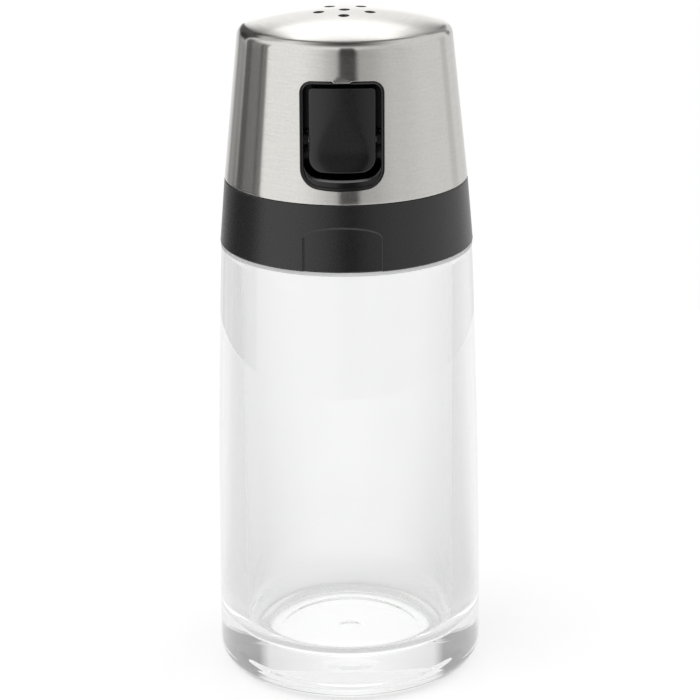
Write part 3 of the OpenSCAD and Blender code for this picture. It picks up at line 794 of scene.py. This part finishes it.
# The land's rolled edge has a painted highlight: pale in its middle, at the foot of the opening, broken up
# by noise.
painted_highlight_edge, tree, shine = surface("land_edge_painted_highlight", {
    "Base Color": (0.05, 0.05, 0.05, 1), "Roughness": 0.3, "Specular IOR Level": 0.62})
spot = node(tree, "ShaderNodeSeparateXYZ", {0: millimetres(tree)})
at_foot = spread(tree, spot.outputs[2], pivot_z - 7.0, pivot_z - 7.5, 0, 1, True)
near_middle = spread(tree, math(tree, "ABSOLUTE", spot.outputs[0]), 3.5, 6.8, 1, 0, True)
highlight_breakup = spread(tree, noise(tree, millimetres(tree, (1, 4, 4)), 1.5, 4.0), 0.3, 0.6, 0.7, 1.0)
painted_highlight = math(tree, "MULTIPLY", math(tree, "MULTIPLY", at_foot, near_middle), highlight_breakup)
tree.links.new(mix_colour(tree, painted_highlight, (0.006, 0.006, 0.0065), (0.2, 0.2, 0.198)), shine.inputs["Base Color"])
tree.links.new(spread(tree, painted_highlight, 0, 1, 0.18, 0.35), shine.inputs["Roughness"])
bezel = piece("window_bezel", gloss,
              [np.stack(bezel_rows[:roll_start + 1]), np.stack(bezel_rows[roll_end - 1:])],
              edge_finish=painted_highlight_edge, edge_grids=[np.stack(bezel_rows[roll_start:roll_end])])
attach(bezel, "cap")
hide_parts("spout_bezel")

boss_in = spout_w / 2 + boss_gap
boss_out = window_w / 2 - bezel_gap - lip_w + boss_sunk
bore, boss_r = axle_r + boss_play, axle_r + boss_wall
pin_boss = softened([
    (boss_out, bore), (boss_in, bore), (boss_in, boss_r), (boss_out, boss_r), (boss_out, bore)], boss_edge)


def along_pin(profile, side):
    """Surface of revolution about the pin: the profile's (x, r) at each angle is (x, r cos a, r sin a)."""
    a = np.linspace(0, 2 * np.pi, 49)[None, :]
    x = np.broadcast_to(side * profile[:, :1], (len(profile), a.size))
    return at_spout(x, profile[:, 1:] * np.cos(a), profile[:, 1:] * np.sin(a))


# The bosses get a darker, duller copy of the bezel's black: painted shade for the deep channel they stand in.
painted_shade_black, tree, shine = surface("boss_painted_shade_black", {
    "Base Color": (0.004, 0.004, 0.004, 1), "Roughness": 0.5, "Specular IOR Level": 0.15})
tree.links.new(mix_colour(tree, flow_marks(tree), (0.003, 0.003, 0.003), (0.005, 0.005, 0.005)),
               shine.inputs["Base Color"])
tree.links.new(spread(tree, flow_marks(tree), 0.3, 0.7, 0.42, 0.58), shine.inputs["Roughness"])
bosses = piece("pin_bosses", painted_shade_black, [along_pin(pin_boss, 1), along_pin(pin_boss, -1)])
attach(bosses, "cap")

# ---- Pour spout ----
# The spout is a satin black rocker: a crowned plate with a finger dip at its lower end, and two cheeks behind
# it that carry the pin and guide the pour. Its sides are drawn in a little at the pin, and its back has a
# shallow pocket for the pad.
spout_down, spout_up = 6.8, 10.45
spout_top_r, spout_foot_r, spout_bow_r = 0.8, 3.0, 60.0
face_recess, plate_t, plate_bow = 0.5, 1.5, 0.35
face_y = face_recess - pivot_depth
plate_y = face_y + plate_t
face_r = 23.4
dip_down, dip_depth = 4.0, 0.6
dip_slope_up, dip_slope_down = 0.083, 0.2
dip_round, dip_blend = 1.2, 0.16
waist, waist_down, waist_h = 0.22, 0.3, 1.6
spout_edge = 0.3
pad_margin, pocket = 0.7, 0.3
play = 0.05
cheek_t, cheek_edge = 1.0, 0.15
cheek_down, cheek_up = 4.08, 9.5
cheek_front_y, cheek_tip_y, cheek_back_y = plate_y - 0.3, 1.5, 3.1
cheek_eye_r, cheek_corner_r = 1.6, 0.6
cheek_back_down, cheek_back_up = 3.2, 7.0


def spout_outline(grow):
    """The plate's outline, with its sides drawn in by the waist a little under the pin: by the waist times
    exp(-u^2), where u is the height from there over waist_h."""
    outline = opening(spout_w + 2 * grow, spout_down + grow, spout_up + grow, spout_top_r + grow,
                      spout_foot_r + grow, spout_bow_r)
    outline[:, 0] *= 1 - waist / (spout_w / 2) * np.exp(-((outline[:, 1] + waist_down) / waist_h) ** 2)
    return outline


def spout_face(outline):
    """Depth of the plate's face: a cylinder of radius face_r upright, and where it is deeper a valley across,
    joined by a smooth maximum. The valley is a hyperbola between a long upper slope and a short lower one."""
    x, z = outline[:, 0], outline[:, 1] + dip_down
    crowned = face_y + face_r - np.sqrt(face_r ** 2 - x * x)
    tilt, opened = dip_slope_up - dip_slope_down, dip_slope_up + dip_slope_down
    dipped = face_y + dip_depth - (tilt * z + opened * (np.hypot(z, dip_round) - dip_round)) / 2
    return (crowned + dipped + np.hypot(crowned - dipped, dip_blend)) / 2


def plate_rows(outline_at, front, back_y, edge):
    """A plate's skin as rings: from the middle of its front out to the edge, round it, to the back and in
    again. outline_at(grow) is its outline, front(outline) the depth of its face."""
    face_outline = outline_at(-edge)
    middle = np.broadcast_to((0, face_outline[:, 1].mean()), face_outline.shape)
    rows = [ring(o, front(o)) for o in between(middle, face_outline, np.linspace(0, 0.97, 26))]
    rows += [ring(outline_at(-edge * (1 - np.sin(a))),
                  front(outline_at(-edge * (1 - np.sin(a)))) + edge * (1 - np.cos(a))) for a in quarter]
    rows += [ring(outline_at(0), np.maximum(back_y - edge / 2, front(outline_at(0)) + edge)),
             ring(outline_at(-edge / 2), np.full(len(face_outline), back_y))]
    return rows


def flat_back(outline, y):
    """Rings at the depth y from an outline in to its middle, which close a plate's back."""
    middle = np.broadcast_to((0, outline[:, 1].mean()), outline.shape)
    return [ring(o, y) for o in between(outline, middle, (0.05, 0.5, 1))]


pocket_edge = pour_outline(pad_margin + play)
spout_rows = plate_rows(spout_outline, spout_face, plate_y + plate_bow, spout_edge)
spout_rows += [ring(pocket_edge, plate_y), ring(pocket_edge, plate_y - pocket)]
spout_rows += flat_back(pocket_edge, plate_y - pocket)
cheek = softened(np.concatenate([
    [(cheek_front_y, -cheek_down)], arc((0, 0), cheek_eye_r, -80, 12, 8),
    [(cheek_back_y, cheek_back_down), (cheek_back_y, cheek_back_up), (cheek_tip_y, cheek_up),
     (cheek_front_y, cheek_up), (cheek_front_y, -cheek_down)]]), cheek_corner_r, 5)
cheek_x = spout_w / 2 - play - cheek_t


def cheek_grid(side):
    """A cheek: its outline in y and z at both faces, set in by a rounded edge, closed to a middle point."""
    middle = cheek.mean(0)
    outward = cheek - middle
    shrink = 1 - cheek_edge / np.linalg.norm(outward, axis=1, keepdims=True)
    rows = []
    for x, size in ((0, 0), (0, shrink), (cheek_edge, 1), (cheek_t - cheek_edge, 1), (cheek_t, shrink),
                    (cheek_t, 0)):
        outline = middle + outward * size
        rows.append(at_spout(np.full(len(cheek), side * (cheek_x + x)), outline[:, 0], outline[:, 1]))
    return np.stack(rows)


satin_black, tree, shine = surface("satin_black_moulding", {
    "Base Color": (0.0075, 0.0075, 0.0078, 1), "Roughness": 0.3, "Specular IOR Level": 0.64})
grain = noise(tree, millimetres(tree), 3.4, 3.0, 0.6)
specks = spread(tree, grain, 0.3, 0.7, 0, 1)
tree.links.new(mix_colour(tree, specks, (0.005, 0.005, 0.0052), (0.0105, 0.0105, 0.0108)),
               shine.inputs["Base Color"])
# Fingers have polished the dip.
up_spout = node(tree, "ShaderNodeSeparateXYZ", {0: millimetres(tree)}).outputs[2]
fingered = spread(tree, up_spout, pivot_z - 3.6, pivot_z - 1.6, 0.6, 1.0, True)
tree.links.new(math(tree, "MULTIPLY", fingered, spread(tree, grain, 0.3, 0.7, 0.26, 0.36)),
               shine.inputs["Roughness"])
relief(tree, shine, grain, 0.02)
spout = piece("rocking_spout", satin_black, [np.stack(spout_rows), cheek_grid(1), cheek_grid(-1)])
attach(spout, "spout")
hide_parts("pour_spout")

# ---- Pin and pad ----
# The pin is drawn steel wire, pressed into the bezel's bosses. The pad is of the seal's silicone and is glued
# in the spout's pocket, where it closes the pour window.
# The pin's steel is darker than the dome's: painted shade for the narrow gap in which it shows.
shaded_pin_steel, tree, shine = surface("drawn_steel_painted_shade", {
    "Base Color": (0.4, 0.4, 0.405, 1), "Metallic": 1.0, "Roughness": 0.3})
drawn = noise(tree, millimetres(tree, (0.3, 6, 6)), 1.0, 4.0)
tree.links.new(spread(tree, drawn, 0.3, 0.7, 0.24, 0.4), shine.inputs["Roughness"])
relief(tree, shine, drawn, 0.003)
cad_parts["spout_axle"].data.materials[0] = shaded_pin_steel

pad_t, pad_edge = 1.1, 0.12
pad_y = plate_y - pocket


def pad_outline(grow):
    """The pad's outline: the pour window's, larger all round by the margin."""
    return pour_outline(pad_margin + grow)


pad_rows = plate_rows(pad_outline, lambda o: np.full(len(o), pad_y), pad_y + pad_t, pad_edge)
pad_rows += flat_back(pad_outline(-pad_edge / 2), pad_y + pad_t)
pad = piece("spout_pad_silicone", silicone, [np.stack(pad_rows)])
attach(pad, "spout")
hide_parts("spout_pad")

# ---- Studio ----
# A plain white floor, lit all round by white walls. Dark flags and bright cards stand round the shaker, as a
# studio has them for steel and glass: behind the camera, to the left, low at the right, behind and overhead.
floor_r, floor_z = 270.0, -0.02
floor_finish = bpy.data.materials.new("white_floor")
floor_finish.use_nodes = True
tree = floor_finish.node_tree
tree.nodes.clear()
paths = node(tree, "ShaderNodeLightPath")
straight = paths.outputs["Is Camera Ray"]
through = paths.outputs["Is Transmission Ray"]
seen = math(tree, "MAXIMUM", math(tree, "MAXIMUM", straight, paths.outputs["Is Glossy Ray"]), through)
place = millimetres(tree)
from_foot = node(tree, "ShaderNodeVectorMath", {0: place}, operation="LENGTH").outputs["Value"]
off_middle = math(tree, "ABSOLUTE", node(tree, "ShaderNodeSeparateXYZ", {0: place}).outputs[0])
# Through the glass the floor shows a painted pool of light: bright under the foot, a little dimmer round it,
# and with painted shade dimmer still to the sides.
painted_pool_under_foot = spread(tree, from_foot, 18.0, 20.6, 0.38, -0.045, True)
sideways = math(tree, "DIVIDE", off_middle, from_foot)
painted_shade_to_sides = math(tree, "MULTIPLY", spread(tree, sideways, 0.2, 0.8, 0.0, 0.2),
                spread(tree, from_foot, 24, 60, 0, 1, True))
painted_light_under_jar = math(tree, "MULTIPLY", through, math(tree, "SUBTRACT", painted_pool_under_foot, painted_shade_to_sides))
lift = math(tree, "MULTIPLY_ADD", straight, 0.06, painted_light_under_jar)
matt = node(tree, "ShaderNodeBsdfDiffuse", {"Color": (0.88, 0.88, 0.88, 1)})
glow = node(tree, "ShaderNodeEmission", {
    "Color": (1, 1, 1, 1), "Strength": math(tree, "MULTIPLY_ADD", seen, 0.5, lift)})
both = node(tree, "ShaderNodeAddShader", {0: matt.outputs[0], 1: glow.outputs[0]})
node(tree, "ShaderNodeOutputMaterial", {"Surface": both.outputs[0]})
floor_rings = np.array([(r, floor_z) for r in (0, 40, 90, 180, floor_r)])
floor = piece("floor", floor_finish, [turned(floor_rings, around(96))])

world = bpy.data.worlds.new("studio")
bpy.context.scene.world = world
world.use_nodes = True
tree = world.node_tree
tree.nodes.clear()
way = node(tree, "ShaderNodeSeparateXYZ", {0: node(tree, "ShaderNodeTexCoord").outputs["Generated"]})
in_degrees = 180 / np.pi
to_front = math(tree, "MULTIPLY", way.outputs[1], -1.0)
azimuth = math(tree, "MULTIPLY", math(tree, "ARCTAN2", way.outputs[0], to_front), in_degrees)
elevation = math(tree, "MULTIPLY", math(tree, "ARCSINE", way.outputs[2]), in_degrees)
light = spread(tree, way.outputs[0], -0.4, 0.5, 1.0, 0.66)


def flag(light, side, half_width, side_soft, up, half_height, up_soft, dark):
    """The light times 1 - dark in one window of directions: side is the azimuth from the front to the right,
    up the height over the horizon, both in degrees, and each border is a smooth step."""
    off_side = math(tree, "PINGPONG", math(tree, "SUBTRACT", azimuth, side), 180.0)
    off_up = math(tree, "ABSOLUTE", math(tree, "SUBTRACT", elevation, up))
    wide = spread(tree, off_side, half_width - side_soft / 2, half_width + side_soft / 2, dark, 0, True)
    high = spread(tree, off_up, half_height - up_soft / 2, half_height + up_soft / 2, 1, 0, True)
    return math(tree, "MULTIPLY", light, math(tree, "SUBTRACT", 1.0, math(tree, "MULTIPLY", wide, high)))


# Each panel has its side, half width and softness, its height, half height and softness, and how dark it is.
# A number under 0 is a bright card.
for panel in (
        # behind the camera: a wide soft flag with a darker stand in its middle
        (4, 28, 50, -20, 60, 30, 0.45), (4.5, 9.5, 7, -20, 76, 20, 0.85),
        # at the left: a dark screen in three steps, two posts in front of it, and a low box
        (-105, 19, 4, -5, 28, 22, 0.75), (-136.5, 12.5, 8, -5, 28, 22, 0.57),
        (-150, 12, 14, -5, 28, 22, 0.25), (-94.5, 1.8, 2.5, -5, 28, 20, 0.4), (-117, 5, 5, -5, 28, 20, 0.4),
        (-112, 24, 6, -20, 11, 8, 0.7),
        # at the right: a pale grey post before a tall bright card
        (127, 6, 7, 0, 14, 16, 0.2), (115, 42, 40, 0, 90, 20, -0.16),
        # behind: three bright cards, one over the other
        (180, 12, 5, 10, 34, 8, -0.2), (182, 9.7, 2, 31.5, 7.5, 3, -0.6), (180, 10, 5, -5, 13, 6, -0.2),
        # behind to the left and right: flags that the dome's rounded edge reflects
        (-148.5, 20.5, 2.5, 20, 16, 10, 0.88), (-140, 28, 10, 42, 13, 12, 0.4),
        (160, 13.3, 3, 26, 12, 8, 0.55), (168, 5, 3, 17, 5, 6, 0.4), (148, 5, 4, 8, 6, 6, 0.6),
        # overhead: a flag high behind, and a dark ceiling
        (180, 30, 24, 64, 23, 6, 0.75), (0, 181, 2, 90, 22, 30, 0.85)):
    light = flag(light, *panel)
# Through the glass there is a back wall in place of the panels, brightest in its middle and dim past its
# ends, and under it a pale horizon. Seen straight, the studio is plain white.
paths = node(tree, "ShaderNodeLightPath")
straight = paths.outputs["Is Camera Ray"]
through = paths.outputs["Is Transmission Ray"]
off_back = math(tree, "PINGPONG", math(tree, "SUBTRACT", azimuth, 182.5), 180.0)
back_wall = math(tree, "MULTIPLY", spread(tree, off_back, 0, 28, 1.0, 0.8),
                 spread(tree, off_back, 30, 36, 1, 0.44))
over_horizon = spread(tree, elevation, 3, 7, 0, 1)
backdrop = node(tree, "ShaderNodeMix", {0: over_horizon, 2: 0.96, 3: back_wall}).outputs[0]
shown = node(tree, "ShaderNodeMix", {0: through, 2: light, 3: backdrop}).outputs[0]
shown = node(tree, "ShaderNodeMix", {0: straight, 2: shown, 3: 1.0}).outputs[0]
background = node(tree, "ShaderNodeBackground", {"Color": (1, 1, 1, 1), "Strength": shown})
node(tree, "ShaderNodeOutputWorld", {"Surface": background.outputs[0]})

# ---- Camera ----
# It stands a little above the shaker and a hair to its right, far enough off for a long lens, and is rolled
# by half a degree.
camera_side = np.radians(1.8)
camera_far = 500.0
camera_up = 238.3
aim_up = 70.72
camera_roll = -0.009
camera_data = bpy.data.cameras.new("camera")
camera_data.lens = 124.74
camera_data.sensor_width = 36
camera_data.shift_x = 0.0034
camera_data.clip_start = 0.01
camera = bpy.data.objects.new("camera", camera_data)
bpy.context.scene.collection.objects.link(camera)
stand = Vector((camera_far * np.sin(camera_side), -camera_far * np.cos(camera_side), camera_up)) * MM
view_line = (Vector((0, 0, aim_up * MM)) - stand).normalized()
level = view_line.cross(Vector((0, 0, 1))).normalized()
upright = level.cross(view_line)
right = level * np.cos(camera_roll) + upright * np.sin(camera_roll)
up = upright * np.cos(camera_roll) - level * np.sin(camera_roll)
camera.matrix_world = Matrix((
    (right.x, up.x, -view_line.x, stand.x), (right.y, up.y, -view_line.y, stand.y),
    (right.z, up.z, -view_line.z, stand.z), (0, 0, 0, 1)))
bpy.context.scene.camera = camera
bpy.context.scene.view_settings.view_transform = "Standard"
